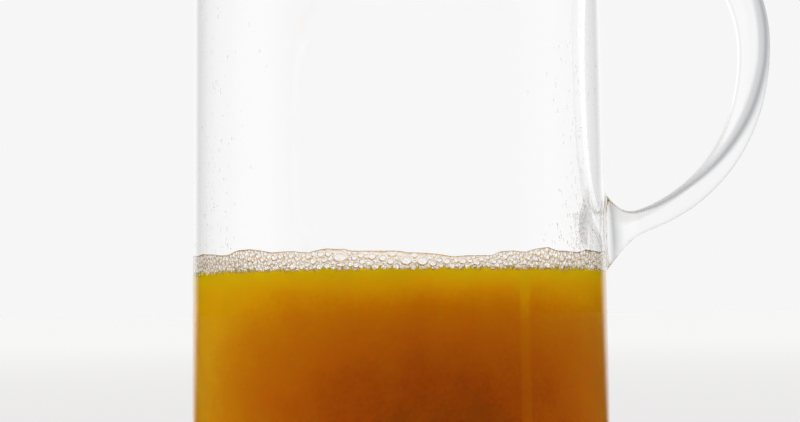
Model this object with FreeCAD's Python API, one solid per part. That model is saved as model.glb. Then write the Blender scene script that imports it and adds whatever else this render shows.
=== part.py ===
"""Straight-sided glass with a drawn handle, part filled with orange juice under a ring of froth.

Frame: origin at the centre of the base on the table, +Z up, +X towards the handle. Millimetres.
Each function makes one piece or one feature of it, and main() writes one STEP per piece.
"""

import FreeCAD
import Part
import math
import os

from FreeCAD import Vector

# --- the blown body -------------------------------------------------------------------
BODY_RADIUS = 50.0
BODY_HEIGHT = 196.0
WALL = 3.0
FLOOR_Z = 7.0            # the base is thicker than the wall, as in blown ware
HEEL_RADIUS = 6.0        # outer corner at the foot
INNER_CORNER = 9.0       # inner corner at the floor
FOOT_RING_RADIUS = 39.0  # the glass stands outside this radius
PUNT_DEPTH = 1.6         # hollow under the base
INNER_RADIUS = BODY_RADIUS - WALL

# --- the contents ---------------------------------------------------------------------
JUICE_LEVEL = 81.0
FROTH_WIDTH = 6.5        # from the wall inwards
FROTH_SHOULDER = 2.0     # it stays high this far in
FROTH_MEAN_HEIGHT = 4.0
FROTH_CROWN = 0.35       # share of the height left at the ring's inner edge
# (waves around the ring, height in mm, angle of the first crest in radians)
FROTH_WAVES = ((2, 0.55, 0.21), (3, 0.35, 2.53), (5, 0.40, 0.35))

# --- the handle, in the XZ plane ------------------------------------------------------
HANDLE_REACH = 88.5      # X of the centreline where it runs straight down
HANDLE_WIDEST_Z = JUICE_LEVEL + 56.0
LOW_JOINT_Z = JUICE_LEVEL + 9.9
HIGH_JOINT_Z = JUICE_LEVEL + 92.0
LOW_ARM_SLOPE = math.radians(8.3)
LOW_ARM_PULL = 25.0      # how far each end of a bend holds its direction
LOW_BEND_PULL = 23.6
HIGH_ARM_PULL = 21.0
HIGH_BEND_PULL = 20.0
LOW_THICKNESS = 5.4      # of the rod, seen from the side, at its lower end
HIGH_THICKNESS = 10.2    # and at its upper end
ROD_WIDTH_RATIO = 1.28   # the rod is a little wider than it is thick

# --- where the hot rod was pressed on to the body -------------------------------------
FOOT_REACH = 9.5         # how far the foot's flare runs out along the rod
FOOT_FLARE = 8.2         # how much half the height grows there, at the wall
FOOT_WIDTH_FLARE = 4.6   # and half the width
ROOT_DEPTH = 1.5         # the foot goes this far into the wall, so that they fuse
DIMPLE_DEPTH = 1.6       # the press pushes the inner wall in
DIMPLE_HEIGHT = 11.4
DIMPLE_RISE = 1.2        # its middle is a little above the joint's

SECTION_POINTS = 16
STATIONS_PER_BEND = 12
FROTH_SECTIONS = 60


def point(radius, z):
    """A point of a half profile in the XZ plane."""
    return Vector(radius, 0, z)


def arc_between(start, centre, end):
    """The shorter arc from start to end about centre, in the XZ plane."""
    radius = (start - centre).Length
    middle = centre + ((start - centre) + (end - centre)).normalize() * radius
    return Part.Arc(start, middle, end).toShape()


def line(start, end):
    return Part.LineSegment(start, end).toShape()


def turned(edges):
    """The solid that a closed half profile sweeps about Z."""
    return Part.makeSolid(Part.Face(Part.Wire(edges)).revolve(Vector(0, 0, 0), Vector(0, 0, 1), 360))


def punt_arc():
    """The shallow arch under the base, from the axis out to the foot ring."""
    rise = PUNT_DEPTH
    arch_radius = (FOOT_RING_RADIUS**2 + rise**2) / (2 * rise)
    half_turn = math.asin(FOOT_RING_RADIUS / arch_radius) / 2
    drop = arch_radius * (1 - math.cos(half_turn))
    middle = point(arch_radius * math.sin(half_turn), rise - drop)
    return Part.Arc(point(0, rise), middle, point(FOOT_RING_RADIUS, 0)).toShape()


def body():
    """The blown cylinder: base with a foot ring and punt, straight wall and fire-polished rim."""
    rim_radius = WALL / 2
    rim_z = BODY_HEIGHT - rim_radius
    heel_in = point(BODY_RADIUS - HEEL_RADIUS, 0)
    heel_out = point(BODY_RADIUS, HEEL_RADIUS)
    rim_out = point(BODY_RADIUS, rim_z)
    rim_top = point(BODY_RADIUS - rim_radius, BODY_HEIGHT)
    rim_in = point(INNER_RADIUS, rim_z)
    rim_centre = point(BODY_RADIUS - rim_radius, rim_z)
    corner_up = point(INNER_RADIUS, FLOOR_Z + INNER_CORNER)
    corner_in = point(INNER_RADIUS - INNER_CORNER, FLOOR_Z)
    edges = [
        punt_arc(),
        line(point(FOOT_RING_RADIUS, 0), heel_in),
        arc_between(heel_in, point(BODY_RADIUS - HEEL_RADIUS, HEEL_RADIUS), heel_out),
        line(heel_out, rim_out),
        arc_between(rim_out, rim_centre, rim_top),
        arc_between(rim_top, rim_centre, rim_in),
        line(rim_in, corner_up),
        arc_between(corner_up, point(INNER_RADIUS - INNER_CORNER, FLOOR_Z + INNER_CORNER), corner_in),
        line(corner_in, point(0, FLOOR_Z)),
        line(point(0, FLOOR_Z), point(0, PUNT_DEPTH)),
    ]
    return turned(edges)


def bend(poles):
    curve = Part.BezierCurve()
    curve.setPoles(poles)
    return curve


def handle_bends():
    """The centreline as two smooth bends: wall to widest point above, and widest point to wall below."""
    widest = Vector(HANDLE_REACH, 0, HANDLE_WIDEST_Z)
    high_end = Vector(BODY_RADIUS, 0, HIGH_JOINT_Z)
    low_end = Vector(BODY_RADIUS, 0, LOW_JOINT_Z)
    low_arm = Vector(math.cos(LOW_ARM_SLOPE), 0, math.sin(LOW_ARM_SLOPE)) * LOW_ARM_PULL
    upper = bend([
        high_end,
        high_end + Vector(HIGH_ARM_PULL, 0, 0),
        widest + Vector(0, 0, HIGH_BEND_PULL),
        widest,
    ])
    lower = bend([widest, widest - Vector(0, 0, LOW_BEND_PULL), low_end + low_arm, low_end])
    return upper, lower


def rod_section(centre, along, half_thickness, half_width):
    """One closed oval cross-section of the rod, square to the direction along."""
    outward = Vector(along.z, 0, -along.x).normalize()
    ring = []
    for step in range(SECTION_POINTS):
        turn = 2 * math.pi * step / SECTION_POINTS
        across = outward * (half_thickness * math.cos(turn))
        ring.append(centre + across + Vector(0, half_width * math.sin(turn), 0))
    curve = Part.BSplineCurve()
    curve.interpolate(Points=ring, PeriodicFlag=True)
    return Part.Wire(curve.toShape())


def station(centre, along, share):
    """The cross-section at a point of the centreline, share being 0 at the top joint and 1 at the low one."""
    clear = min((centre.x - BODY_RADIUS) / FOOT_REACH, 1.0)
    flare = (1 - max(clear, 0.0)) ** 2
    half_thickness = (HIGH_THICKNESS + (LOW_THICKNESS - HIGH_THICKNESS) * share) / 2
    half_width = half_thickness * ROD_WIDTH_RATIO + FOOT_WIDTH_FLARE * flare
    # in the foot the section swings round until it lies flat on the wall
    into_wall = Vector(-1 if along.x < 0 else 1, 0, 0)
    facing = along * (1 - flare) + into_wall * flare
    return rod_section(centre, facing, half_thickness + FOOT_FLARE * flare, half_width)


def handle():
    """The drawn rod, thick above and thin below, flaring into a foot at each joint."""
    upper, lower = handle_bends()
    root = Vector(ROOT_DEPTH, 0, 0)
    sections = [station(upper.value(0) - root, upper.tangent(0)[0], 0)]
    for side, curve in enumerate((upper, lower)):
        for step in range(STATIONS_PER_BEND + 1):
            if side and step == 0:
                continue  # the widest point belongs to the upper bend
            t = step / STATIONS_PER_BEND
            sections.append(station(curve.value(t), curve.tangent(t)[0], (side + t) / 2))
    sections.append(station(lower.value(1) - root, lower.tangent(1)[0], 1))
    return Part.makeLoft(sections, True, False)


def dimple(joint_z):
    """The low swelling on the inner wall behind a joint."""
    half = DIMPLE_HEIGHT / 2
    middle_z = joint_z + DIMPLE_RISE
    ball_radius = (half**2 + DIMPLE_DEPTH**2) / (2 * DIMPLE_DEPTH)
    centre = Vector(INNER_RADIUS - DIMPLE_DEPTH + ball_radius, 0, middle_z)
    core = Part.makeCylinder(BODY_RADIUS - WALL / 2, 4 * half, Vector(0, 0, middle_z - 2 * half))
    return Part.makeSphere(ball_radius, centre).common(core)


def glass():
    """The whole glass as one fused piece."""
    fused = body().fuse([handle(), dimple(LOW_JOINT_Z), dimple(HIGH_JOINT_Z)])
    return fused.Solids[0]


def juice():
    """The drink, from the floor of the glass up to its level."""
    corner_up = point(INNER_RADIUS, FLOOR_Z + INNER_CORNER)
    corner_in = point(INNER_RADIUS - INNER_CORNER, FLOOR_Z)
    edges = [
        line(point(0, FLOOR_Z), corner_in),
        arc_between(corner_in, point(INNER_RADIUS - INNER_CORNER, FLOOR_Z + INNER_CORNER), corner_up),
        line(corner_up, point(INNER_RADIUS, JUICE_LEVEL)),
        line(point(INNER_RADIUS, JUICE_LEVEL), point(0, JUICE_LEVEL)),
        line(point(0, JUICE_LEVEL), point(0, FLOOR_Z)),
    ]
    return turned(edges)


def froth_height(angle):
    """Height of the froth above the juice at an angle round the glass."""
    waves = sum(size * math.cos(count * angle - crest) for count, size, crest in FROTH_WAVES)
    return FROTH_MEAN_HEIGHT + waves


def froth_section(angle):
    """A radial slice of the ring: flat below, high at the wall and low at its inner edge."""
    top = JUICE_LEVEL + froth_height(angle)
    low = JUICE_LEVEL + froth_height(angle) * FROTH_CROWN
    inner = INNER_RADIUS - FROTH_WIDTH
    shoulder = INNER_RADIUS - FROTH_SHOULDER
    outer = INNER_RADIUS + WALL / 2
    corners = [(inner, JUICE_LEVEL), (outer, JUICE_LEVEL), (outer, top), (shoulder, top), (inner, low)]
    ring = [Vector(r * math.cos(angle), r * math.sin(angle), z) for r, z in corners]
    return Part.makePolygon(ring + ring[:1])


def froth():
    """The ring of bubbles on the juice, against the wall, with its uneven top."""
    slices = [froth_section(2 * math.pi * step / FROTH_SECTIONS) for step in range(FROTH_SECTIONS)]
    ring = Part.makeLoft(slices, True, True, True)
    bore = Part.makeCylinder(INNER_RADIUS, BODY_HEIGHT)
    return ring.common(bore).Solids[0]


def main():
    os.makedirs("parts", exist_ok=True)
    pieces = {"glass": glass(), "orange_juice": juice(), "froth": froth()}
    for name, shape in pieces.items():
        shape.exportStep(f"parts/{name}.step")
        box = shape.BoundBox
        print(
            f"{name}: valid {shape.isValid()}, {len(shape.Solids)} solid, {shape.Volume / 1000:.1f} ml,",
            f"X {box.XMin:.1f} to {box.XMax:.1f}, Y {box.YMin:.1f} to {box.YMax:.1f},",
            f"Z {box.ZMin:.1f} to {box.ZMax:.1f}",
        )


main()
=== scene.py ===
# %% [markdown]
# # A handled glass of orange juice
# A tall glass, straight as a tube, has a handle drawn from a hot rod and pressed on to its side.
# It is part filled with orange juice, and a ring of clear bubbles sits on the juice at the wall.
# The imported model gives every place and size. Each step below makes one piece or one finish.

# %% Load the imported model
import math

import bmesh
import bpy
import numpy as np
from mathutils import Matrix, Vector


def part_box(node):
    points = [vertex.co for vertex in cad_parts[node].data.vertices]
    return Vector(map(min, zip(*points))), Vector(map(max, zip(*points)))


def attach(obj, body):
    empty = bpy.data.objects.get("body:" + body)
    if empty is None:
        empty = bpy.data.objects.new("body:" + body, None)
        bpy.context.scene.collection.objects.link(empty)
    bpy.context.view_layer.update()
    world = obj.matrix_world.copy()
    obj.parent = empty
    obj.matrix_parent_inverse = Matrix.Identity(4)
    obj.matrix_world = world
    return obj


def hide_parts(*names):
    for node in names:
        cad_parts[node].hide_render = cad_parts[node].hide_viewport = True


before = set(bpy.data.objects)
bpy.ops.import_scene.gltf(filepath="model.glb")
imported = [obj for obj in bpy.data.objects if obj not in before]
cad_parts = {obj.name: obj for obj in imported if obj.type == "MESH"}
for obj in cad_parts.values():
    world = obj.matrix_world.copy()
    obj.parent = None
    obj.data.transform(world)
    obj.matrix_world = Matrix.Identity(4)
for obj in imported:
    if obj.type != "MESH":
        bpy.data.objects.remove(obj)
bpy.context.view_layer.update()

MM = 0.001

# %% [markdown]
# ## Sizes
# The frame knows the outside of each piece. The wall follows from two boxes: in Y the glass ends
# where the body does, and the juice ends at the inner wall.

# %% Read the sizes off the frame
glass_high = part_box("glass")[1]
juice_low, juice_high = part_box("orange_juice")
BODY_RADIUS = glass_high.y
BODY_HEIGHT = glass_high.z
INNER_RADIUS = juice_high.y
WALL = BODY_RADIUS - INNER_RADIUS
FLOOR_Z = juice_low.z
LEVEL = juice_high.z
print(f"body {BODY_RADIUS / MM:.1f} mm round, {BODY_HEIGHT / MM:.0f} mm high, wall {WALL / MM:.2f} mm,")
print(f"floor at {FLOOR_Z / MM:.1f} mm, juice up to {LEVEL / MM:.1f} mm")

# %% [markdown]
# ## Three small helpers
# Most pieces are computed as arrays of points, so one helper turns points and faces into an
# object. One turns the hex colours of a paint chart into the linear values that light is worked
# out with. One adds a shader node, sets it and links it.

# %% A piece from arrays


def piece(name, points, faces, smooth=True):
    """A new object with that mesh, in the frame's metres."""
    mesh = bpy.data.meshes.new(name)
    mesh.from_pydata(np.asarray(points).tolist(), [], [tuple(face) for face in faces])
    mesh.validate()
    mesh.update()
    mesh.polygons.foreach_set("use_smooth", [smooth] * len(mesh.polygons))
    made = bpy.data.objects.new(name, mesh)
    bpy.context.scene.collection.objects.link(made)
    return made


# %% A colour from its hex value


def linear(hex_colour):
    """An sRGB hex value such as #f0a000 as a linear RGBA tuple."""
    channels = [int(hex_colour[i : i + 2], 16) / 255 for i in (1, 3, 5)]
    return (*[c / 12.92 if c <= 0.04045 else ((c + 0.055) / 1.055) ** 2.4 for c in channels], 1.0)


# %% A shader node with its settings and links


def add(tree, kind, inputs=None, **settings):
    """A new node. inputs maps a socket to a value, or to another node's output to link it."""
    made = tree.nodes.new(kind)
    for key, value in settings.items():
        setattr(made, key, value)
    for key, value in (inputs or {}).items():
        if isinstance(value, bpy.types.NodeSocket):
            tree.links.new(value, made.inputs[key])
        else:
            made.inputs[key].default_value = value
    return made


# %% [markdown]
# ## The glass
# Clear glass shows nothing but how it bends light, so its mesh has to be one closed, smooth skin
# of the true wall thickness. A boolean of handle and body would leave a crease and thin faces,
# which show as dark scratches. Instead the body is a lathe grid with a square of cells left out
# at each joint, and loops of the same number of points run from one hole along the handle to the
# other. A subdivision surface then rounds the joint as heat does.

# %% The lathe profile of the body
COLUMNS = 144
HEEL = 6 * MM
INNER_CORNER = 9 * MM
FOOT_RING = 39 * MM
PUNT = 1.6 * MM
LOW_JOINT_Z = LEVEL + 9.9 * MM
HIGH_JOINT_Z = LEVEL + 92 * MM
LOW_PATCH = 14 * MM  # half the height of the square left open at the lower joint
HIGH_PATCH = 17 * MM
PATCH_CELLS = 12


def arc(centre, radius, start, end, steps):
    """Points (r, z) on an arc, from angle start to angle end in degrees, both ends included."""
    turns = np.radians(np.linspace(start, end, steps + 1))
    return [(centre[0] + radius * math.cos(t), centre[1] + radius * math.sin(t)) for t in turns]


def wall_levels():
    """Heights of the grid's rows on the straight wall: close at the joints, wide elsewhere."""
    low = np.linspace(LOW_JOINT_Z - LOW_PATCH, LOW_JOINT_Z + LOW_PATCH, PATCH_CELLS + 1)
    high = np.linspace(HIGH_JOINT_Z - HIGH_PATCH, HIGH_JOINT_Z + HIGH_PATCH, PATCH_CELLS + 1)
    below = np.linspace(FLOOR_Z + INNER_CORNER, low[0], 7)[1:-1]
    between = np.linspace(low[-1], high[0], 8)[1:-1]
    return np.concatenate([below, low, between, high])


def body_profile():
    """The closed half profile: from the punt's middle up the outside, over the rim, and down inside."""
    levels = wall_levels()
    rim_radius = WALL / 2
    rim = (BODY_RADIUS - rim_radius, BODY_HEIGHT - rim_radius)
    arch = [(r, PUNT * (1 - (r / FOOT_RING) ** 2)) for r in np.array([4, 12, 20, 28, 34]) * MM]
    ring = [(r * MM, 0.0) for r in (39, 40, 42, 43.5)]
    heel = arc((BODY_RADIUS - HEEL, HEEL), HEEL, -84, 0, 7)
    outside = [(BODY_RADIUS, z) for z in levels]
    edge = arc(rim, rim_radius, 0, 180, 8)
    inside = [(INNER_RADIUS, z) for z in levels[::-1]]
    corner = arc((INNER_RADIUS - INNER_CORNER, FLOOR_Z + INNER_CORNER), INNER_CORNER, 0, -90, 8)
    floor = [(r * MM, FLOOR_Z) for r in (34, 27, 19, 11, 4)]
    return arch + ring + heel + outside + edge + inside + corner + floor


profile = body_profile()
print(f"the body's profile has {len(profile)} points")

# %% [markdown]
# Where the hot rod was pressed on, the wall gave way a little, so the inner wall has a low
# swelling behind each joint. It is a smooth bump in the radius of the inner rows.

# %% The swelling behind each joint
DIMPLE_DEPTH = 1.6 * MM
DIMPLE_REACH = 6.4 * MM
DIMPLE_RISE = 1.2 * MM


def dimple(across, z):
    """How far the inner wall stands in, at a distance across the wall from the handle's plane."""
    swelling = 0.0
    for joint_z in (LOW_JOINT_Z, HIGH_JOINT_Z):
        away = ((z - joint_z - DIMPLE_RISE) ** 2 + across**2) / DIMPLE_REACH**2
        if away < 1:
            swelling = max(swelling, DIMPLE_DEPTH * (1 - away) ** 1.5)
    return swelling


# %% The body's grid, with a square left open at each joint


def body_grid():
    """Points and faces of the lathe grid, and the loop of points round each open square."""
    turns = 2 * math.pi * np.arange(COLUMNS) / COLUMNS
    across = np.abs((turns + math.pi) % (2 * math.pi) - math.pi) * INNER_RADIUS
    points = [(0, 0, PUNT)]
    for row, (r, z) in enumerate(profile):
        inside = r <= INNER_RADIUS + 1e-9 and z > FLOOR_Z + INNER_CORNER
        for turn, distance in zip(turns, across):
            radius = r - dimple(distance, z) if inside else r
            points.append((radius * math.cos(turn), radius * math.sin(turn), z))
    points.append((0, 0, FLOOR_Z))

    def at(row, column):
        return 1 + row * COLUMNS + column % COLUMNS

    first = {}  # the lowest row of the outer wall at each height
    for row, (r, z) in enumerate(profile):
        if r == BODY_RADIUS:
            first.setdefault(round(z / MM, 4), row)
    half = PATCH_CELLS // 2
    loops = []
    open_cells = set()
    for joint_z, reach, way in ((HIGH_JOINT_Z, HIGH_PATCH, 1), (LOW_JOINT_Z, LOW_PATCH, -1)):
        low = first[round((joint_z - reach) / MM, 4)]
        high = low + PATCH_CELLS
        open_cells |= {(row, column % COLUMNS) for row in range(low, high) for column in range(-half, half)}
        near, far = (low, high) if way == 1 else (high, low)
        side = range(near, far, way)
        loop = [(near, c) for c in range(half)]
        loop += [(row, half) for row in side]
        loop += [(far, c) for c in range(half, -half, -1)]
        loop += [(row, -half) for row in range(far, near, -way)]
        loop += [(near, c) for c in range(-half, 0)]
        loops.append([at(row, column) for row, column in loop])
    faces = [(0, at(0, c + 1), at(0, c)) for c in range(COLUMNS)]
    for row in range(len(profile) - 1):
        for column in range(COLUMNS):
            if (row, column) not in open_cells:
                low_edge = (at(row, column), at(row, column + 1))
                faces.append((*low_edge, at(row + 1, column + 1), at(row + 1, column)))
    last = len(profile) - 1
    faces += [(at(last, c), at(last, c + 1), len(points) - 1) for c in range(COLUMNS)]
    return points, faces, loops


points, faces, loops = body_grid()
print(f"grid of {len(faces)} faces, open loops of {[len(loop) for loop in loops]} points")

# %% [markdown]
# ## The handle
# A glassmaker lets a hot rod hang from the upper joint, bends it round and presses its thin end
# on below. So its centreline is two smooth bends that meet where it runs straight down, it gets
# thinner all the way, it is an oval a little wider than thick, and it flares where it was pressed.

# %% The handle's centreline
WIDEST = Vector((88.5 * MM, 0, LEVEL + 56 * MM))
LOW_SLOPE = math.radians(8.3)
LOW_ARM, LOW_BEND = 25 * MM, 23.6 * MM
HIGH_ARM, HIGH_BEND = 21 * MM, 20 * MM


def bezier(poles, t):
    """A point of a cubic Bezier curve."""
    a, b, c, d = poles
    return a * (1 - t) ** 3 + b * 3 * t * (1 - t) ** 2 + c * 3 * t * t * (1 - t) + d * t**3


def centreline(steps=200):
    """Close points along the handle from the upper joint to the lower one."""
    high_end = Vector((BODY_RADIUS, 0, HIGH_JOINT_Z))
    low_end = Vector((BODY_RADIUS, 0, LOW_JOINT_Z))
    low_arm = Vector((math.cos(LOW_SLOPE), 0, math.sin(LOW_SLOPE))) * LOW_ARM
    upper = [high_end, high_end + Vector((HIGH_ARM, 0, 0)), WIDEST + Vector((0, 0, HIGH_BEND)), WIDEST]
    lower = [WIDEST, WIDEST - Vector((0, 0, LOW_BEND)), low_end + low_arm, low_end]
    run = [bezier(upper, i / steps) for i in range(steps)]
    run += [bezier(lower, i / steps) for i in range(steps + 1)]
    return np.array(run)


route = centreline()
distance = np.concatenate([[0], np.cumsum(np.linalg.norm(np.diff(route, axis=0), axis=1))])
print(f"the handle is {distance[-1] / MM:.0f} mm long along its middle")

# %% The handle's sections
FOOT_REACH, FOOT_FLARE, FOOT_WIDTH_FLARE = 9.5 * MM, 8.2 * MM, 4.6 * MM
HIGH_THICKNESS, LOW_THICKNESS = 10.2 * MM, 5.4 * MM
ROD_WIDTH_RATIO = 1.28
FOOT_END, ROD_RINGS = 14 * MM, 38  # so many rings between the feet
STEP = 0.2 * MM


def handle_stations():
    """Distances along the handle: close together in each foot, then every few millimetres."""
    foot = np.array([0.7, 1.7, 3.0, 4.6, 6.4, 8.4, 10.8]) * MM
    middle = np.linspace(FOOT_END, distance[-1] - FOOT_END, ROD_RINGS)
    return np.concatenate([[0], foot, middle, distance[-1] - foot[::-1], [distance[-1]]])


def handle_section(at, count):
    """The points of one oval cross-section, turned to lie on the wall where it meets it."""
    behind, centre, ahead = [
        Vector([np.interp(at + step, distance, axis) for axis in route.T]) for step in (-STEP, 0, STEP)
    ]
    along = (ahead - behind).normalized()
    share = np.interp(at, distance, np.linspace(0, 1, len(distance)))
    flare = (1 - min((centre.x - BODY_RADIUS) / FOOT_REACH, 1.0)) ** 2
    half = (HIGH_THICKNESS + (LOW_THICKNESS - HIGH_THICKNESS) * share) / 2
    width = half * ROD_WIDTH_RATIO + FOOT_WIDTH_FLARE * flare
    half += FOOT_FLARE * flare
    facing = along * (1 - flare) + Vector((math.copysign(1, along.x), 0, 0)) * flare
    outward = Vector((facing.z, 0, -facing.x)).normalized()
    ring = []
    for turn in 2 * math.pi * np.arange(count) / count:
        spot = centre + outward * (half * math.cos(turn)) + Vector((0, width * math.sin(turn), 0))
        spot.x -= flare * (BODY_RADIUS - math.sqrt(BODY_RADIUS**2 - spot.y**2))
        ring.append(spot)
    return ring


# %% Loops from an open square to the foot's outline


def on_wall(across, z):
    """The point of the outer wall at an arc length from the handle's plane."""
    turn = across / BODY_RADIUS
    return Vector((BODY_RADIUS * math.cos(turn), BODY_RADIUS * math.sin(turn), z))


def ease(square, oval, share):
    """A loop on the wall part of the way from the open square to the foot's oval outline."""
    ring = []
    for a, b in zip(square, oval):
        arc_a = math.atan2(a[1], a[0]) * BODY_RADIUS
        arc_b = math.atan2(b[1], b[0]) * BODY_RADIUS
        ring.append(on_wall(arc_a + (arc_b - arc_a) * share, a[2] + (b[2] - a[2]) * share))
    return ring


# %% One closed skin
RING_POINTS = len(loops[0])
EASED = (0.4, 0.75)  # rings this far from the open square to the foot's outline


def handle_rings():
    """The rings of points from the upper open square along the handle to the lower one."""
    rings = [handle_section(at, RING_POINTS) for at in handle_stations()]
    top_square, low_square = [[Vector(points[i]) for i in loop] for loop in loops]
    eased_top = [ease(top_square, rings[0], share) for share in EASED]
    eased_low = [ease(low_square, rings[-1], share) for share in EASED[::-1]]
    return eased_top + rings + eased_low


def make_glass(rings):
    """The body, the handle and the two joints as one skin."""
    skin_points = points + [tuple(spot) for ring in rings for spot in ring]
    numbers = np.arange(len(points), len(skin_points)).reshape(-1, RING_POINTS).tolist()
    skin_faces = list(faces)
    for ring, following in zip([loops[0], *numbers], [*numbers, loops[1]]):
        for i in range(RING_POINTS):
            j = (i + 1) % RING_POINTS
            skin_faces.append((ring[i], ring[j], following[j], following[i]))
    return piece("drawn_glass", skin_points, skin_faces)


rings = handle_rings()
glass = make_glass(rings)
skin = bmesh.new()
skin.from_mesh(glass.data)
bmesh.ops.recalc_face_normals(skin, faces=skin.faces)
open_edges = sum(not edge.is_manifold for edge in skin.edges)
skin.to_mesh(glass.data)
volume = skin.calc_volume() / MM**3 / 1000
print(f"glass: {len(skin.faces)} faces, {open_edges} open edges, {volume:.0f} ml")
skin.free()

# %% [markdown]
# ## Painted grey shade in the glass
# The grey in the glass is painted shade, put where a clear rod shows dark by what it bends: a band
# with fine strands along the rod, a ring of it round the foot, and the swelling behind each joint.
# A band inside the rod would need glass within glass. So each point of the skin says how much
# painted shade it gets, and the material tints the light that goes in there, on the rod's -Y side
# only, or a band would be seen twice.

# %% How much painted shade each point gets
# painted shade band: (mm above the juice, its middle, its half width), 1 being the handle's inner edge and
# -1 its outer
PAINTED_SHADE_BAND = ((8, 1.1, 0.05), (11.3, 0.9, 0.15), (13.5, 0.75, 0.25), (18, 0.72, 0.28), (28, 0.35, 0.42),
        (38.7, -0.05, 0.52), (51, -0.36, 0.52), (60, -0.42, 0.55), (75, -0.5, 0.4), (92, -0.6, 0.2))
# painted shade ring round the foot: (mm from the wall), (how much of it shows)
FOOT_SHADE = ((0.8, 1.7, 3.0, 4.6), (0.2, 1.0, 0.35, 0.0))
SHADE_STRANDS = 11  # fine strands across the painted shade band
NEAR_WALL = 0.01 * MM


def painted_shade_at(z, turn):
    """How much painted grey shade the band gives at a place on the rod, 0 to 1."""
    heights, middles, halves = np.array(PAINTED_SHADE_BAND).T
    middle = np.interp((z - LEVEL) / MM, heights, middles)
    half = np.interp((z - LEVEL) / MM, heights, halves)
    facing = max(0.0, -math.sin(turn)) ** 0.3
    shade_strands = 0.84 + 0.16 * math.cos(SHADE_STRANDS * (math.cos(turn) - middle) + 1.2)
    return facing * shade_strands * max(0.0, 1 - ((math.cos(turn) - middle) / half) ** 2) ** 0.8


def painted_shade_shares():
    """The painted shade of the band and of the ring round the foot on the rod's rings, and of the swellings
    on the inner wall.
    """
    shade_shares = np.zeros(len(points) + len(rings) * RING_POINTS)
    for i, (x, y, z) in enumerate(points):
        if x > 0 and math.hypot(x, y) < INNER_RADIUS + NEAR_WALL:
            shade_shares[i] = math.sqrt(dimple(abs(y), z) / DIMPLE_DEPTH)
    on_rod = range(len(EASED), len(rings) - len(EASED))
    for row in on_rod:
        middle = sum(rings[row], Vector()) / RING_POINTS
        foot_shade = np.interp((middle.x - BODY_RADIUS) / MM, *FOOT_SHADE)
        for i in range(RING_POINTS):
            turn = 2 * math.pi * i / RING_POINTS
            facing = max(0.0, -math.sin(turn)) ** 0.5
            shade_shares[len(points) + row * RING_POINTS + i] = max(painted_shade_at(middle.z, turn), foot_shade * facing)
    return shade_shares


# painted shade: how grey each point of the glass skin is tinted
shade_shares = painted_shade_shares()
glass.data.attributes.new("painted_shade", "FLOAT", "POINT").data.foreach_set("value", shade_shares)
print(f"{np.count_nonzero(shade_shares)} of {len(shade_shares)} points are tinted")

# %% Rounding by heat
smooth = glass.modifiers.new("heat_rounding", "SUBSURF")
smooth.levels = smooth.render_levels = 1
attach(glass, "root")
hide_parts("glass")

# %% [markdown]
# ## The froth's pattern
# Froth on a drink is air in thin skins of juice. Against the wall it shows as round cells, large
# ones where few came up and small ones where many did, with wet corners between them. The cells
# are laid out first, because the juice's edge rises between the lowest of them. They are packed
# as one would fill a jar: large ones first, then ever smaller ones where they still fit.

# %% Uneven lines round the glass


def waves(turn, seed, counts, size):
    """A smooth uneven line round the glass: cosine waves with crests at random angles."""
    draw = np.random.default_rng(seed)
    total = np.zeros_like(np.asarray(turn, float))
    for count in counts:
        total += np.cos(count * np.asarray(turn) - draw.uniform(0, 2 * math.pi)) * draw.uniform(0.5, 1)
    return size * total / math.sqrt(len(counts))


# %% Height of the froth
FROTH_MEAN_HEIGHT = 4.0 * MM
FROTH_WAVES = ((2, 0.55, 0.21), (3, 0.35, 2.53), (5, 0.40, 0.35))
# heaps of bubbles and hollows between them: (degrees round the glass, mm above the even waves)
FROTH_HEAPS = ((190, 0.0), (197, -0.3), (205, 0.0), (213, -0.4), (220, -0.8), (224, 0.1), (228, 0.7),
               (232, 0.5), (236, 0.2), (243, 0.5), (247, 0.2), (252, 0.9), (256, 1.0), (259, 0.2),
               (270, 0.0), (275, -0.5), (278, -1.1), (283, -1.8), (289, -2.1), (293.7, -1.8), (296, -0.9),
               (300, -0.5), (304, -0.8), (308, 0.0), (311.5, 0.7), (315.5, -0.1), (325, 0.0), (329, 0.7),
               (333, 0.5), (340, 0.6), (350, 0.0))


def froth_height(turn):
    """Height of the froth's top at the wall above the juice's level."""
    swell = sum(size * MM * np.cos(count * turn - crest) for count, size, crest in FROTH_WAVES)
    degrees, heaps = np.array(FROTH_HEAPS).T
    heap = np.interp(np.degrees(turn) % 360, degrees, heaps, left=0, right=0) * MM
    return FROTH_MEAN_HEIGHT + swell + heap + waves(turn, 5, (11, 17, 26, 38), 0.27 * MM)


# %% Packing the cells on the wall
# (degrees round the glass, radius in mm of the larger cells there)
CELL_SIZES = ((0, 0.75), (60, 0.85), (120, 0.95), (180, 0.7), (195, 0.6), (215, 0.72), (235, 0.75),
              (250, 0.8), (275, 0.95), (290, 0.8), (300, 0.6), (312, 0.9), (328, 0.95), (340, 0.8),
              (360, 0.75))
# the few largest cells: degrees, then mm up, half wide and half high
LARGE_CELLS = ((255.1, 2.3, 1.75, 1.05), (255.3, 0.75, 1.2, 0.45), (258.9, 3.3, 0.75, 0.5),
               (268.3, 2.9, 1.0, 0.7), (271.7, 1.5, 1.3, 1.05), (275.7, 1.35, 1.25, 1.0),
               (281.8, 1.3, 0.85, 0.75), (286.0, 1.3, 0.9, 0.7))
# (smallest and largest share of that radius, tries)
STAGES = ((0.8, 1.0, 1500), (0.6, 0.8, 4000), (0.42, 0.6, 9000), (0.3, 0.42, 12000))
SMALLEST_CELL = 0.2 * MM
TOUCH = 0.97  # neighbours share this much of the sum of their radii
CELL_LOW = -0.8 * MM  # the lowest cells are sunk this far into the juice
CELL_MARGIN = 0.15 * MM  # and the highest stay this far under the film's edge


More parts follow.
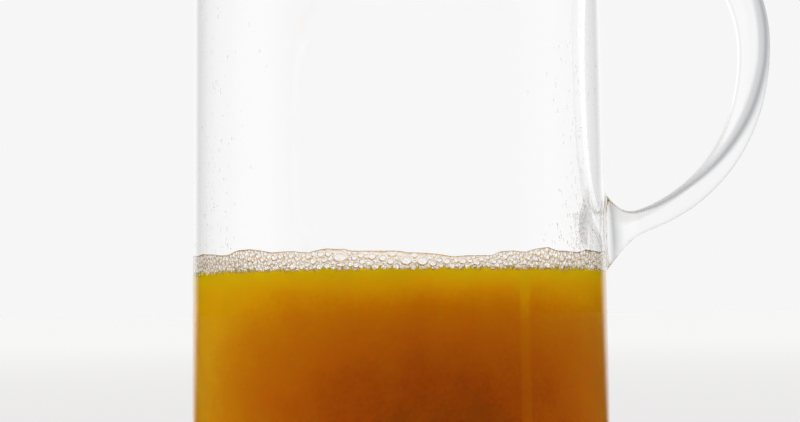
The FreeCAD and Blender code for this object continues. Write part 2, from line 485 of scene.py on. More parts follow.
def pack_cells():
    """Rows of angle, height above the level, half width and half height."""
    draw = np.random.default_rng(21)
    kept = np.array([(math.radians(d), up * MM, wide * MM, high * MM) for d, up, wide, high in LARGE_CELLS])
    degrees, sizes = np.array(CELL_SIZES).T
    for smallest, largest, tries in STAGES:
        for _ in range(tries):
            turn = draw.uniform(0, 2 * math.pi)
            radius = np.interp(math.degrees(turn), degrees, sizes) * MM * draw.uniform(smallest, largest)
            radius = max(radius, SMALLEST_CELL)
            top = froth_height(turn) - radius - CELL_MARGIN
            z = draw.uniform(CELL_LOW + radius, max(top, CELL_LOW + radius + 0.01 * MM))
            across = (turn - kept[:, 0] + math.pi) % (2 * math.pi) - math.pi
            wide, high = kept[:, 2] + radius, kept[:, 3] + radius
            gaps = np.hypot(across * INNER_RADIUS / wide, (z - kept[:, 1]) / high)
            if gaps.min() > TOUCH:
                kept = np.vstack([kept, (turn, z, radius, radius * draw.uniform(0.88, 1.0))])
    return kept


cells = pack_cells()
print(f"{len(cells)} cells, {2 * cells[:, 2].min() / MM:.1f} to {2 * cells[:, 2].max() / MM:.1f} mm wide")

# %% Distance from a place on the wall to the cells' edges
FAR = 9.0  # no cell near


def cell_depth(turn, z):
    """For a grid of places on the wall, how far out in a cell they are: 0 at its middle, 1 at its edge."""
    nearest = np.full(np.broadcast(turn, z).shape, FAR)
    for cell_turn, up, wide, high in cells:
        across = ((turn - cell_turn + math.pi) % (2 * math.pi) - math.pi) * INNER_RADIUS
        close = np.abs(across[:, 0]) < 1.6 * wide
        if not close.any():
            continue
        part = np.hypot(across[close] / wide, (z[close] - up) / high)
        nearest[close] = np.minimum(nearest[close], part)
    return nearest


# %% [markdown]
# ## The juice
# The drink wets the wall, so no air shows between them: its skin reaches 0.3 mm into the wall.
# Its surface climbs the wall a little, as every wetting liquid does. Under the froth it rises in
# points between the lowest cells and dips under each of them.

# %% The juice's skin
INTO_WALL = 0.3 * MM
MENISCUS = 0.6 * MM  # how high the surface climbs at the wall
CLIMB_WIDTH = 0.9 * MM  # and how fast it falls away from it
JUICE_COLUMNS = 1152
SUPPORT = 0.06 * MM  # a row this close to the edge keeps the side's shading flat


def juice_edge(turn):
    """Height of the juice's edge at the wall above its level."""
    edge = MENISCUS + waves(turn, 3, (5, 9, 14, 23, 37, 51), 0.2 * MM)
    for cell_turn, up, wide, high in cells:
        across = np.abs((turn - cell_turn + math.pi) % (2 * math.pi) - math.pi) * INNER_RADIUS / wide
        under = up - high * 0.9 * np.sqrt(np.clip(1 - across**2, 0, 1))
        edge = np.where(across < 1, np.minimum(edge, np.maximum(under, CELL_LOW)), edge)
    return edge


def make_juice():
    """The drink as a lathe grid: floor, corner, side and a surface with its climbing edge."""
    outer = INNER_RADIUS + INTO_WALL
    low = FLOOR_Z - INTO_WALL
    corner_radius = INNER_CORNER + INTO_WALL
    bottom = [(r * MM, low) for r in (8, 24, 36)]
    corner = arc((outer - corner_radius, low + corner_radius), corner_radius, -90, 0, 6)
    side = [(outer, z) for z in np.linspace(low + corner_radius, LEVEL - 1.2 * MM, 8)[1:]]
    inward = np.array([0.0, 0.25, 0.6, 1.1, 1.8, 2.8, 4.5]) * MM
    climb = [(outer - d, math.exp(-d / CLIMB_WIDTH)) for d in inward]
    surface = [(r * MM, 0.0) for r in (38, 31, 24, 16, 7)]
    turns = 2 * math.pi * np.arange(JUICE_COLUMNS) / JUICE_COLUMNS
    edge = juice_edge(turns)
    rows = []
    for r, z in bottom + corner + side:
        rows.append(np.stack([r * np.cos(turns), r * np.sin(turns), np.full_like(turns, z)], 1))
    rows.append(np.stack([outer * np.cos(turns), outer * np.sin(turns), LEVEL + edge - SUPPORT], 1))
    for r, share in climb + surface:
        ripple = waves(turns, 11, (2, 3, 5), 0.05 * MM) * r / outer
        height = LEVEL + share * edge + ripple * (1 - share)
        rows.append(np.stack([r * np.cos(turns), r * np.sin(turns), height], 1))
    count = len(turns)
    spots = np.concatenate([[(0, 0, low)], *rows, [(0, 0, LEVEL)]])
    skin_faces = [(0, 1 + (c + 1) % count, 1 + c) for c in range(count)]
    for row in range(len(rows) - 1):
        base = 1 + row * count
        for c in range(count):
            d = (c + 1) % count
            skin_faces.append((base + c, base + d, base + count + d, base + count + c))
    base = 1 + (len(rows) - 1) * count
    skin_faces += [(base + c, base + (c + 1) % count, len(spots) - 1) for c in range(count)]
    made = piece("orange_juice_fill", spots, skin_faces)
    surface_start = 1 + (len(bottom + corner + side) + 1) * count
    flags = [min(face.vertices) >= surface_start for face in made.data.polygons]
    made.data.polygons.foreach_set("material_index", [int(flag) for flag in flags])
    return made


juice = make_juice()
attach(juice, "root")
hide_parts("orange_juice")
print(f"juice: {len(juice.data.polygons)} faces")

# %% [markdown]
# ## The wet film on the wall
# Between the cells the liquid stands thick against the glass, and in each cell only a thin skin
# is left. That relief is what draws the cells: its slopes bend the light aside. So the film is a
# closed ring with a flat outer face just inside the wall and an inner face that is moved in by
# the film's thickness at each place. It ends above the cells in a rounded bead.

# %% The film's skin
FILM_COLUMNS = 1920
FILM_ROWS = 40
FILM_INTO_WALL = 0.2 * MM
FILM_BELOW = 1.2 * MM
THICK_LOW, THICK_HIGH = 0.6 * MM, 0.26 * MM  # of the liquid between cells, at the juice and on top
THIN = 0.05 * MM  # of the skin in each cell
CELL_RIM, CELL_SLOPE = 0.8, 0.24  # where the skin starts to thicken, and over what share of the cell
BEAD = 0.1  # the top tenth of the film rounds off
EDGE_ROW = 0.03 * MM


def make_film():
    """The closed ring of liquid between the cells."""
    turns = 2 * math.pi * np.arange(FILM_COLUMNS)[:, None] / FILM_COLUMNS
    share = np.linspace(0, 1, FILM_ROWS)[None, :] ** 0.9
    height = froth_height(turns) + FILM_BELOW
    z = height * share - FILM_BELOW
    turn_grid = np.broadcast_to(turns, z.shape)
    between = np.clip((cell_depth(turn_grid, z) - CELL_RIM) / CELL_SLOPE, 0, 1)
    between = between * between * (3 - 2 * between)
    thick = THICK_LOW + (THICK_HIGH - THICK_LOW) * share
    bead = np.sqrt(np.clip(1 - np.clip((share - (1 - BEAD)) / BEAD, 0, 1) ** 2, 0, 1))
    inner = INNER_RADIUS - (THIN + (thick - THIN) * between) * bead
    inner += np.where(bead < 0.01, FILM_INTO_WALL * 0.5, 0)
    outer = INNER_RADIUS + FILM_INTO_WALL
    # two close rows at each end of the outer face keep its shading flat
    low, high = z[:, :1], z[:, -1:]
    radii = np.concatenate([np.full((FILM_COLUMNS, 4), outer), inner[:, ::-1]], 1)
    heights = LEVEL + np.concatenate([low, low + EDGE_ROW, high - EDGE_ROW, high, z[:, ::-1]], 1)
    spots = np.stack([radii * np.cos(turns), radii * np.sin(turns), heights], 2).reshape(-1, 3)
    rows = radii.shape[1]
    column, row = np.meshgrid(np.arange(FILM_COLUMNS), np.arange(rows), indexing="ij")
    following = (column + 1) % FILM_COLUMNS
    up = (row + 1) % rows
    quads = [column * rows + row, following * rows + row, following * rows + up, column * rows + up]
    return piece("froth_wet_film", spots, np.stack(quads, 2).reshape(-1, 4))


wall_film = make_film()
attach(wall_film, "root")
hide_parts("froth")
print(f"wet film: {len(wall_film.data.polygons)} faces")

# %% [markdown]
# ## The bubbles
# Behind each larger cell stands a bubble, and a raft of more bubbles lies on the juice beside
# the wall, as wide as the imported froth. Each bubble is a thin shell with an outer and an inner
# skin, because only a real thickness bends light at a bubble's rim and draws its outline.

# %% Bubbles as thin shells
SHELL, SHELL_SHARE = 0.06 * MM, 0.04  # a shell is this thick, and this share of its radius more
OUTER_REACH, INNER_REACH = 0.1 * MM, -0.03 * MM  # how far its two skins may reach past the inner wall


def ball(divisions):
    """Points and faces of a unit ball of nearly even triangles."""
    mesh = bmesh.new()
    bmesh.ops.create_icosphere(mesh, subdivisions=divisions, radius=1)
    spots = np.array([v.co for v in mesh.verts])
    corners = np.array([[v.index for v in face.verts] for face in mesh.faces])
    mesh.free()
    return spots, corners


def shells(name, balls, divisions):
    """One piece of many bubbles. balls lists x, y, z, half width and half height."""
    spots, corners = ball(divisions)
    all_points, all_faces = [], []
    for x, y, z, wide, high in balls:
        turn = math.atan2(y, x)
        out = np.array([math.cos(turn), math.sin(turn), 0])
        film = SHELL + SHELL_SHARE * wide
        for shrink, flip, limit in ((0, False, OUTER_REACH), (film, True, INNER_REACH)):
            skin_points = spots * (wide - shrink, wide - shrink, high - shrink) + (x, y, z)
            reach = skin_points @ out
            skin_points -= np.outer(np.maximum(reach - INNER_RADIUS - limit, 0), out)
            all_faces.append((corners[:, ::-1] if flip else corners) + len(all_points) * len(spots))
            all_points.append(skin_points)
    return piece(name, np.concatenate(all_points), np.concatenate(all_faces))


# %% Bubbles behind the larger cells
BEHIND_CELLS = 300
SET_BACK = 0.7  # a bubble's middle stands this share of its radius in from the wall


def wall_bubbles():
    """A bubble for each of the largest cells."""
    turns, up, wide, high = cells[np.argsort(-cells[:, 2])[:BEHIND_CELLS]].T
    reach = INNER_RADIUS - wide * SET_BACK
    return np.stack([reach * np.cos(turns), reach * np.sin(turns), LEVEL + up, wide, high], 1)


large_bubbles = shells("froth_large_bubbles", wall_bubbles(), 3)
print(large_bubbles.name, len(large_bubbles.data.polygons), "triangles")

# %% The raft of bubbles beside the wall
FROTH_WIDTH = 6.3 * MM
RAFT_STAGES = ((0.95, 700), (0.7, 1500), (0.48, 3000), (0.32, 4000))  # (mm of radius, tries)
RAFT_COUNT = 1150
BEHIND_WIDTH, BEHIND_RADIUS = 2.4 * MM, 0.5 * MM  # what the bubbles behind the cells take up
FLOAT = 0.35  # a bubble's middle floats this share of its radius above the juice


def raft_bubbles():
    """Bubbles that lie in one layer on the juice, smaller and sparser away from the wall."""
    draw = np.random.default_rng(9)
    kept = np.zeros((0, 5))
    for largest, tries in RAFT_STAGES:
        for _ in range(tries):
            radius = largest * MM * draw.uniform(0.75, 1)
            inward = draw.uniform(0.9, 1) * radius + (FROTH_WIDTH - 2 * radius) * draw.uniform(0, 1) ** 1.3
            turn = draw.uniform(0, 2 * math.pi)
            if inward < BEHIND_WIDTH and radius > BEHIND_RADIUS:
                continue
            uneven = 1 + waves(turn, 31, (3, 7, 13), 0.2)
            if inward + radius > FROTH_WIDTH * uneven:
                continue
            reach = INNER_RADIUS - inward
            x, y = reach * math.cos(turn), reach * math.sin(turn)
            apart = np.hypot(kept[:, 0] - x, kept[:, 1] - y)
            if (apart < 0.95 * (kept[:, 3] + radius)).any():
                continue
            kept = np.vstack([kept, (x, y, LEVEL + FLOAT * radius, radius, radius)])
    return kept[:RAFT_COUNT]


raft = raft_bubbles()
small_bubbles = shells("froth_small_bubbles", raft, 2)
print(small_bubbles.name, len(raft), "bubbles,", len(small_bubbles.data.polygons), "triangles")
for froth_piece in (large_bubbles, small_bubbles):
    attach(froth_piece, "root")

# %% [markdown]
# ## Drops on the wall
# Where the drink was poured and swirled it left small drops and short runs on the inner wall.
# They are longer than wide, because they crept down before they stopped.

# %% Drops and short runs
DROPS = 620
DROPS_AT_SWELLING = 190
SWELLING_DROP = 1.5  # the drops on the swelling are this much larger
NEAR_HANDLE = 0.66  # this share of the others is near the handle, the rest opposite it
SPREAD = math.radians(15)
SWELLING_SPREAD = math.radians(9), 3.2 * MM
CLEAR_BAND, WET_HEIGHT = 1.5 * MM, 62 * MM  # clear above the froth, then wet
DROP_WIDTHS = 0.1 * MM, 0.24 * MM
DROP_STRETCH = 1.2, 3.5
DROP_DEPTH, DROP_STAND = 0.8, 0.25  # share of its width; of that, how far in its middle stands


def wall_drops():
    """Small clear drops that stand in from the wall, near the handle and opposite it."""
    draw = np.random.default_rng(77)
    spots, corners = ball(2)
    all_points, all_faces = [], []
    while len(all_points) < DROPS:
        side = draw.choice([0, math.pi], p=[NEAR_HANDLE, 1 - NEAR_HANDLE])
        turn = side + draw.normal(0, SPREAD)
        z = LEVEL + froth_height(turn) + CLEAR_BAND + WET_HEIGHT * draw.uniform(0, 1) ** 1.5
        wide = draw.uniform(*DROP_WIDTHS)
        if len(all_points) < DROPS_AT_SWELLING:
            turn = draw.normal(0, SWELLING_SPREAD[0])
            z = LOW_JOINT_Z + DIMPLE_RISE + draw.normal(0, SWELLING_SPREAD[1])
            wide *= SWELLING_DROP
        high = wide * draw.uniform(*DROP_STRETCH)
        out = np.array([math.cos(turn), math.sin(turn), 0])
        across = np.array([-math.sin(turn), math.cos(turn), 0])
        deep = DROP_DEPTH * wide
        shape = np.outer(spots[:, 0], out) * deep + np.outer(spots[:, 1], across) * wide
        shape[:, 2] += spots[:, 2] * high
        from_handle = abs(math.sin(turn)) * INNER_RADIUS if out[0] > 0 else BODY_RADIUS
        centre = out * (INNER_RADIUS - DROP_STAND * deep - dimple(from_handle, z))
        all_faces.append(corners + len(all_points) * len(spots))
        all_points.append(shape + centre + (0, 0, z))
    return piece("wall_drops", np.concatenate(all_points), np.concatenate(all_faces))


drops = wall_drops()
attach(drops, "root")
print(f"{DROPS} drops, {len(drops.data.polygons)} triangles")

# %% [markdown]
# ## The glass's finish
# Body and handle are clear borosilicate glass, blown, drawn and fire polished. The surface set
# from the melt, so it has no roughness, and the eye sees only what it bends and mirrors, with an
# IOR of 1.47, and the painted grey shade. The foot of the handle melts into the wall, and light should
# pass nearly straight from one to the other. With the full IOR the foot's curved faces fill with
# the juice's orange, so they get a lower one, in two steps, and the foot looks clear.

# %% An empty material


def new_material(name):
    """A material without nodes, and its node tree."""
    made = bpy.data.materials.new(name)
    made.use_nodes = True
    made.node_tree.nodes.clear()
    return made, made.node_tree


# %% Borosilicate glass, fire polished
# painted shade: the grey that the glass is tinted where shade is painted on
PAINTED_SHADE_GREY = "#74767c"


def borosilicate_glass(name, ior):
    """Clear blown glass: no roughness, and no tint but the painted grey shade."""
    made, tree = new_material(name)
    # painted shade: this attribute says where the glass is tinted grey
    painted_streak = add(tree, "ShaderNodeAttribute", attribute_name="painted_shade")
    tint = add(tree, "ShaderNodeMix", {
        0: painted_streak.outputs["Fac"], 6: linear("#ffffff"), 7: linear(PAINTED_SHADE_GREY),
    }, data_type="RGBA")
    surface = add(tree, "ShaderNodeBsdfPrincipled", {
        "Base Color": tint.outputs[2], "Roughness": 0.0, "IOR": ior, "Transmission Weight": 1.0,
    })
    add(tree, "ShaderNodeOutputMaterial", {"Surface": surface.outputs[0]})
    return made


# %% The rod and body, the foot's edge and the foot
GLASS_ZONES = (("borosilicate_glass", 1.47), ("borosilicate_glass_joint_edge", 1.3),
               ("borosilicate_glass_joint", 1.15))
FOOT_EDGE, FOOT_CORE = 8.5 * MM, 4.5 * MM  # how far out from the wall the two zones reach
FOOT_HALF_WIDTH, FOOT_HALF_HEIGHT = 9.5 * MM, 12.5 * MM
WALL_SAG = 0.2 * MM  # flat faces lie this far inside the wall

for zone_name, zone_ior in GLASS_ZONES:
    glass.data.materials.append(borosilicate_glass(zone_name, zone_ior))
zone_faces = [0, 0, 0]
for face in glass.data.polygons:
    middle = face.center
    out = math.hypot(middle.x, middle.y) - BODY_RADIUS
    near = min(abs(middle.z - LOW_JOINT_Z), abs(middle.z - HIGH_JOINT_Z))
    in_foot = middle.x > 0 and -WALL_SAG < out < FOOT_EDGE
    if in_foot and abs(middle.y) < FOOT_HALF_WIDTH and near < FOOT_HALF_HEIGHT:
        face.material_index = 1 if out > FOOT_CORE else 2
    zone_faces[face.material_index] += 1
print("faces in each zone", zone_faces)

# %% [markdown]
# ## The juice's finish
# Orange juice is water and sugar with a cloud of fine pulp. Light is scattered many times in it
# and comes out elsewhere, yellow after a short way and orange-brown after a long one, so the eye
# sees a soft body of colour and no surface. Subsurface scattering with a reach of 20 mm gives the
# softness. Light that soaks in from above and behind would take thousands of bounces, so it is
# worked out by place: one glow falls with depth, one rises towards the back, and they are laid
# over each other. Where juice wets the wall next to nothing is mirrored, so its side has an IOR
# of 1.05. The open surface has the 1.35 of sugared water and the even colour that light from
# above gives. Pulp specks of 0.9 mm are larger than life, because finer ones wouldn't show.

# %% Where the juice glows
LIGHT_DEPTH, LIGHT_FALL = 34 * MM, 2.2  # light from above is spent at this depth, faster at first
LIT_FROM = Vector((-0.2, 0.97, 0))  # light gets in from behind, and a little from its left
MOST_SIDE_LIGHT = 0.7
PULP = ((0.9 * MM, 0.07), (8 * MM, 0.1))  # specks and clouds of pulp, and how much they show
PAINTED_HIGHLIGHT_TURN = math.radians(303.2)  # a faint lighter upright streak, a painted highlight, stands here
PAINTED_HIGHLIGHT_EDGE, PAINTED_HIGHLIGHT_CORE = math.radians(2.0), math.radians(0.9)
PAINTED_HIGHLIGHT_GLOW = 0.12


def light_from_above_and_behind(tree, place):
    """0 where no light gets in, 1 where most does."""
    axes = add(tree, "ShaderNodeSeparateXYZ", {0: place})
    depth = add(tree, "ShaderNodeMapRange", {
        "Value": axes.outputs["Z"], "From Min": LEVEL - LIGHT_DEPTH, "From Max": LEVEL,
    })
    near_top = add(tree, "ShaderNodeMath", {0: depth.outputs[0], 1: LIGHT_FALL}, operation="POWER")
    aim = LIT_FROM / INNER_RADIUS
    behind = add(tree, "ShaderNodeVectorMath", {0: place, 1: aim}, operation="DOT_PRODUCT")
    side = add(tree, "ShaderNodeMath", {0: behind.outputs["Value"], 1: 1.0}, operation="ADD", use_clamp=True)
    side = add(tree, "ShaderNodeMath", {0: side.outputs[0], 1: MOST_SIDE_LIGHT}, operation="MINIMUM")
    no_top = add(tree, "ShaderNodeMath", {0: 1.0, 1: near_top.outputs[0]}, operation="SUBTRACT")
    no_side = add(tree, "ShaderNodeMath", {0: 1.0, 1: side.outputs[0]}, operation="SUBTRACT")
    dark = add(tree, "ShaderNodeMath", {0: no_top.outputs[0], 1: no_side.outputs[0]}, operation="MULTIPLY")
    return add(tree, "ShaderNodeMath", {0: 1.0, 1: dark.outputs[0]}, operation="SUBTRACT").outputs[0]


def with_pulp_and_painted_highlight(tree, place, glow):
    """The glow made uneven by pulp, and lighter in one upright streak that is a painted highlight."""
    for size, share in PULP:
        pulp = add(tree, "ShaderNodeTexNoise", {"Vector": place, "Scale": 1 / size, "Detail": 3.0})
        uneven = add(tree, "ShaderNodeMapRange", {
            "Value": pulp.outputs[0], "From Min": 0.3, "From Max": 0.7,
            "To Min": -share / 2, "To Max": share / 2,
        })
        glow = add(tree, "ShaderNodeMath", {0: glow, 1: uneven.outputs[0]}, operation="ADD").outputs[0]
    # painted highlight: an upright lighter streak where a light would be mirrored
    aim = Vector((math.cos(PAINTED_HIGHLIGHT_TURN), math.sin(PAINTED_HIGHLIGHT_TURN), 0)) / (INNER_RADIUS + INTO_WALL)
    along = add(tree, "ShaderNodeVectorMath", {0: place, 1: aim}, operation="DOT_PRODUCT")
    painted_streak = add(tree, "ShaderNodeMapRange", {
        "Value": along.outputs["Value"], "From Min": math.cos(PAINTED_HIGHLIGHT_EDGE),
        "From Max": math.cos(PAINTED_HIGHLIGHT_CORE), "To Max": PAINTED_HIGHLIGHT_GLOW,
    }, interpolation_type="SMOOTHSTEP")
    glow = add(tree, "ShaderNodeMath", {0: glow, 1: painted_streak.outputs[0]}, operation="ADD", use_clamp=True)
    return glow.outputs[0]


# %% Cloudy orange juice
DEEP_TO_BRIGHT = ((0.0, "#c06208"), (0.07, "#d06908"), (0.3, "#e08308"), (0.57, "#e59d08"),
                  (0.8, "#eebc0c"), (1.0, "#eac210"))
OPEN_SURFACE = ((0.0, "#dc9a10"), (1.0, "#e2a414"))
SCATTER = (1.0, 0.8, 0.3)  # red light gets furthest through juice and blue the least far
SCATTER_REACH = 20 * MM


def cloudy_orange_juice(name, colours, ior):
    """Juice with its glow turned to colours; smooth, because it is a liquid."""
    made, tree = new_material(name)
    place = add(tree, "ShaderNodeTexCoord").outputs["Object"]
    glow = with_pulp_and_painted_highlight(tree, place, light_from_above_and_behind(tree, place))
    ramp = add(tree, "ShaderNodeValToRGB", {0: glow})
    stops = ramp.color_ramp.elements
    while len(stops) < len(colours):
        stops.new(0.5)
    for stop, (position, colour) in zip(stops, colours):
        stop.position = position
        stop.color = linear(colour)
    surface = add(tree, "ShaderNodeBsdfPrincipled", {
        "Base Color": ramp.outputs[0], "Roughness": 0.08, "IOR": ior, "Subsurface Weight": 1.0,
        "Subsurface Radius": SCATTER, "Subsurface Scale": SCATTER_REACH,
    })
    add(tree, "ShaderNodeOutputMaterial", {"Surface": surface.outputs[0]})
    return made


juice.data.materials.append(cloudy_orange_juice("cloudy_orange_juice_side", DEEP_TO_BRIGHT, 1.05))
juice.data.materials.append(cloudy_orange_juice("cloudy_orange_juice_surface", OPEN_SURFACE, 1.35))
print("juice:", [material.name for material in juice.data.materials])

# %% [markdown]
# ## The froth's and the drops' finish
# The skins of froth bubbles are juice that has drained to little more than water, with an IOR of
# 1.34, and surface tension keeps them smooth. The eye sees bright cells with grey-brown outlines,
# because light that grazes a skin goes a long way inside it. So the colour is in the liquid and
# not on it: beige in the froth, and half as strong and nearly grey in the drops. It absorbs far
# more than real juice, because the thinnest skin here is a hundred times a real one's.

# %% Thin juice and watery drops


def wet_skin(name, colour, density):
    """A clear liquid without roughness that tints what goes through a lot of it."""
    made, tree = new_material(name)
    surface = add(tree, "ShaderNodeBsdfPrincipled", {
        "Base Color": linear("#ffffff"), "Roughness": 0.0, "IOR": 1.34, "Transmission Weight": 1.0,
    })
    inside = add(tree, "ShaderNodeVolumeAbsorption", {"Color": linear(colour), "Density": density})
    add(tree, "ShaderNodeOutputMaterial", {"Surface": surface.outputs[0], "Volume": inside.outputs[0]})
    return made


thin_juice = wet_skin("thin_juice_film", "#c4b490", 600.0)
for froth_piece in (wall_film, large_bubbles, small_bubbles):
    froth_piece.data.materials.append(thin_juice)
drops.data.materials.append(wet_skin("watery_drops", "#c8c4bc", 300.0))
print("froth and drops:", thin_juice.name, drops.data.materials[0].name)

# %% [markdown]
# ## The studio
# Glass is lit by what stands round it. A pale backdrop makes it clear, and darker walls at the
# sides and behind the viewer draw its edges, because the edges bend light from there.
# So the world is a ring of grey cards, unrolled on a colour ramp, under a pale ceiling. What lights
# the juice, what is seen through the glass and what it mirrors have a ring each, as a studio's
# lamps, backdrop and flags do.

# %% The ring of cards
CEILING_STARTS, CEILING_FULL = 0.3, 0.75  # heights on a ball of directions


def card_ring(tree, azimuth, height, cards, ceiling):
    """Brightness by direction. cards lists (degrees from +Y towards +X, brightness)."""
    share = add(tree, "ShaderNodeMath", {0: azimuth, 1: 2 * math.pi}, operation="DIVIDE")
    turn = add(tree, "ShaderNodeMath", {0: share.outputs[0], 1: 0.5}, operation="ADD")
    ramp = add(tree, "ShaderNodeValToRGB", {0: turn.outputs[0]})
    stops = ramp.color_ramp.elements
    while len(stops) < len(cards):
        stops.new(1.0)
    for stop, (degrees, brightness) in zip(stops, cards):
        stop.position = degrees / 360 + 0.5
        stop.color = (brightness, brightness, brightness, 1)
    lift = add(tree, "ShaderNodeMapRange", {
        "Value": height, "From Min": CEILING_STARTS, "From Max": CEILING_FULL,
    }, interpolation_type="SMOOTHSTEP")
    return add(tree, "ShaderNodeMix", {
        0: lift.outputs[0], 6: ramp.outputs[0], 7: (ceiling, ceiling, ceiling, 1),
    }, data_type="RGBA").outputs[2]


# %% The three rings
BACKDROP = 0.923  # brightness that shows as the pale grey of the paper
VIEW_CARDS = ((-180, 0.45), (-110, 0.5), (-88, 0.75), (-60, 0.9), (-45, BACKDROP), (45, BACKDROP),
              (60, 1.05), (88, 1.0), (110, 0.5))
MIRROR_EDGE, MIRROR_BLACK = 28, 38  # degrees: beyond these the sides of the glass mirror black flags
MIRROR_CARDS = ((-180, 0.0), (-MIRROR_BLACK, 0.0), (-MIRROR_EDGE, BACKDROP), (MIRROR_EDGE, BACKDROP),
                (MIRROR_BLACK, 0.0))
LIGHT_CARDS = ((-180, 0.3), (-110, 1.5), (-70, 3.6), (0, 3.0), (60, 2.3), (110, 0.5))
MIRROR_CEILING, LIGHT_CEILING = 0.25, 2.5
PER_FACE = 1.024  # each face of glass mirrors about this share away, which the view gives back


def studio():
    """The three rings, chosen by what the ray is doing."""
    world = bpy.data.worlds.new("pale_studio")
    bpy.context.scene.world = world
    world.use_nodes = True
    tree = world.node_tree
    tree.nodes.clear()
    place = add(tree, "ShaderNodeTexCoord")
    axes = add(tree, "ShaderNodeSeparateXYZ", {0: place.outputs["Generated"]})
    height = axes.outputs["Z"]
    azimuth = add(tree, "ShaderNodeMath", {
        0: axes.outputs["X"], 1: axes.outputs["Y"],
    }, operation="ARCTAN2").outputs[0]
    view = card_ring(tree, azimuth, height, VIEW_CARDS, BACKDROP)
    mirror = card_ring(tree, azimuth, height, MIRROR_CARDS, MIRROR_CEILING)
    light = card_ring(tree, azimuth, height, LIGHT_CARDS, LIGHT_CEILING)
    path = add(tree, "ShaderNodeLightPath")
    through = add(tree, "ShaderNodeMath", {
        0: PER_FACE, 1: path.outputs["Transmission Depth"],
    }, operation="POWER")
    seen = add(tree, "ShaderNodeVectorMath", {0: view, "Scale": through.outputs[0]}, operation="SCALE")
    mirrored = add(tree, "ShaderNodeMix", {
        0: path.outputs["Is Reflection Ray"], 6: seen.outputs[0], 7: mirror,
    }, data_type="RGBA")
    lit = add(tree, "ShaderNodeMix", {
        0: path.outputs["Diffuse Depth"], 6: mirrored.outputs[2], 7: light,
    }, data_type="RGBA")
    backdrop = add(tree, "ShaderNodeBackground", {"Color": lit.outputs[2], "Strength": 1.0})
    add(tree, "ShaderNodeOutputWorld", {"Surface": backdrop.outputs[0]})


studio()
print("studio of", len(VIEW_CARDS), "+", len(MIRROR_CARDS), "+", len(LIGHT_CARDS), "cards")

# %% [markdown]
# ## The table top
# The table top is a wide board with matt white paint, so it doesn't mirror the glass. Near the
# glass it is painted a light grey as shade, and further off it is as bright as the backdrop, so no
# horizon line crosses behind the glass. In mirrored and scattered light it is painted near black
# where black flags would stand, so the sides of the glass show a painted reflection of their foot
# and the juice gets painted shade from below.

# %% Matt painted board
FLOOR_RADIUS = 9.0
BELOW_FOOT = 0.05 * MM
# painted shade: the board is a darker grey near the glass
PAINTED_SHADE_NEAR, GREY_FAR = "#abaaaa", "#b4b4b3"
NEAR, AWAY = 0.25, 2.3  # metres from the glass
# painted reflection and shade: near black for mirrored and scattered light where flags would stand
PAINTED_FLAG_BLACK = "#1e1e1e"
FLAG_STARTS, FLAG_FULL = 0.07, 0.12


def painted_flag_share(tree, place, away):
    """1 where the board is painted black in place of a black flag, for mirrored and scattered light only."""
    path = add(tree, "ShaderNodeLightPath")
    axes = add(tree, "ShaderNodeSeparateXYZ", {0: place})
    azimuth = add(tree, "ShaderNodeMath", {0: axes.outputs["X"], 1: axes.outputs["Y"]}, operation="ARCTAN2")
    aside = add(tree, "ShaderNodeMath", {0: azimuth.outputs[0]}, operation="ABSOLUTE")
    beside = add(tree, "ShaderNodeMapRange", {
        "Value": aside.outputs[0], "From Min": math.radians(MIRROR_EDGE),
        "From Max": math.radians(MIRROR_BLACK),
    })
    beyond = add(tree, "ShaderNodeMapRange", {
        "Value": away, "From Min": FLAG_STARTS, "From Max": FLAG_FULL,
    })
    under = add(tree, "ShaderNodeMath", {0: beside.outputs[0], 1: beyond.outputs[0]}, operation="MULTIPLY")
    indirect = add(tree, "ShaderNodeMath", {
        0: path.outputs["Is Reflection Ray"], 1: path.outputs["Diffuse Depth"],
    }, operation="ADD", use_clamp=True)
    return add(tree, "ShaderNodeMath", {
        0: indirect.outputs[0], 1: under.outputs[0],
    }, operation="MULTIPLY").outputs[0]


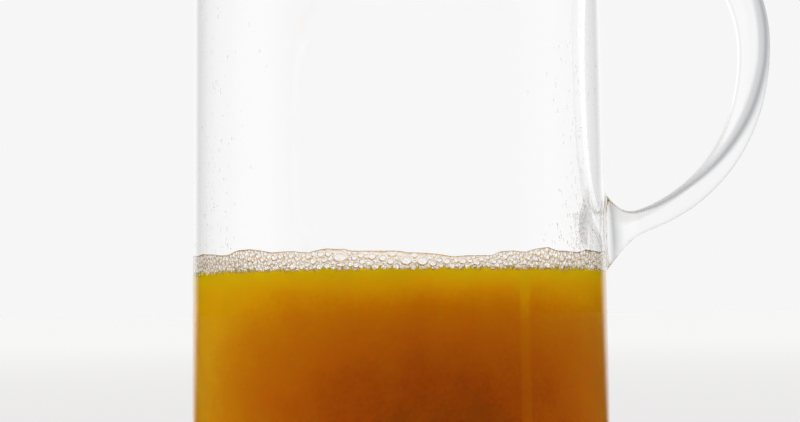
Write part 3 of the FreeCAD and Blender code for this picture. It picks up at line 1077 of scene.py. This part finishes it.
def painted_board():
    """Matt paint: purely diffuse, shaded by distance."""
    made, tree = new_material("pale_painted_board")
    place = add(tree, "ShaderNodeTexCoord").outputs["Object"]
    away = add(tree, "ShaderNodeVectorMath", {0: place}, operation="LENGTH").outputs["Value"]
    ramp = add(tree, "ShaderNodeMapRange", {
        "Value": away, "From Min": NEAR, "From Max": AWAY,
    }, interpolation_type="SMOOTHSTEP")
    shade = add(tree, "ShaderNodeMix", {
        0: ramp.outputs[0], 6: linear(PAINTED_SHADE_NEAR), 7: linear(GREY_FAR),
    }, data_type="RGBA")
    colour = add(tree, "ShaderNodeMix", {
        0: painted_flag_share(tree, place, away), 6: shade.outputs[2], 7: linear(PAINTED_FLAG_BLACK),
    }, data_type="RGBA")
    surface = add(tree, "ShaderNodeBsdfDiffuse", {"Color": colour.outputs[2]})
    add(tree, "ShaderNodeOutputMaterial", {"Surface": surface.outputs[0]})
    return made


turns = 2 * math.pi * np.arange(96) / 96
outline = [(FLOOR_RADIUS * math.cos(t), FLOOR_RADIUS * math.sin(t), -BELOW_FOOT) for t in turns]
table_top = piece("table_top", outline, [tuple(range(len(outline)))], smooth=False)
table_top.data.materials.append(painted_board())
print(f"table top {2 * FLOOR_RADIUS:.0f} m across")

# %% [markdown]
# ## The camera
# The camera stands 0.3 m in front of the glass, just below the juice's surface, and looks a
# little up. It sees the body from side to side and the handle's bend, but no rim or base.

# %% Camera
CAMERA_AWAY = 0.300
CAMERA_BELOW_LEVEL = 7.64 * MM
LENS, SENSOR = 55.08, 36  # mm


def look(place, pitch, pan, roll):
    """A level camera at place, then tilted up, turned and rolled by small angles in degrees."""
    data = bpy.data.cameras.new("view")
    data.lens = LENS
    data.sensor_width = SENSOR
    data.clip_start = 0.01
    data.clip_end = 50
    made = bpy.data.objects.new("view", data)
    bpy.context.scene.collection.objects.link(made)
    turn = Matrix.Rotation(math.radians(-pan), 4, "Z") @ Matrix.Rotation(math.radians(90 + pitch), 4, "X")
    made.matrix_world = Matrix.Translation(place) @ turn @ Matrix.Rotation(math.radians(roll), 4, "Z")
    bpy.context.scene.camera = made


look(Vector((0, -CAMERA_AWAY, LEVEL - CAMERA_BELOW_LEVEL)), pitch=4.38, pan=0.051, roll=-0.60)
print("camera at", bpy.context.scene.camera.location)

# %% [markdown]
# ## Light paths and colour
# Light crosses dozens of faces on its way through froth, and each takes a bounce. A path that is
# cut short turns black, so the limits are high. Diffuse light needs only a few bounces. The
# Standard view transform keeps the backdrop as pale as it is set.

# %% Light paths and colour
FACES_CROSSED = 256
cycles = bpy.context.scene.cycles
for limit in ("max_bounces", "transmission_bounces", "glossy_bounces"):
    setattr(cycles, limit, FACES_CROSSED)
cycles.diffuse_bounces = 4
bpy.context.scene.view_settings.view_transform = "Standard"
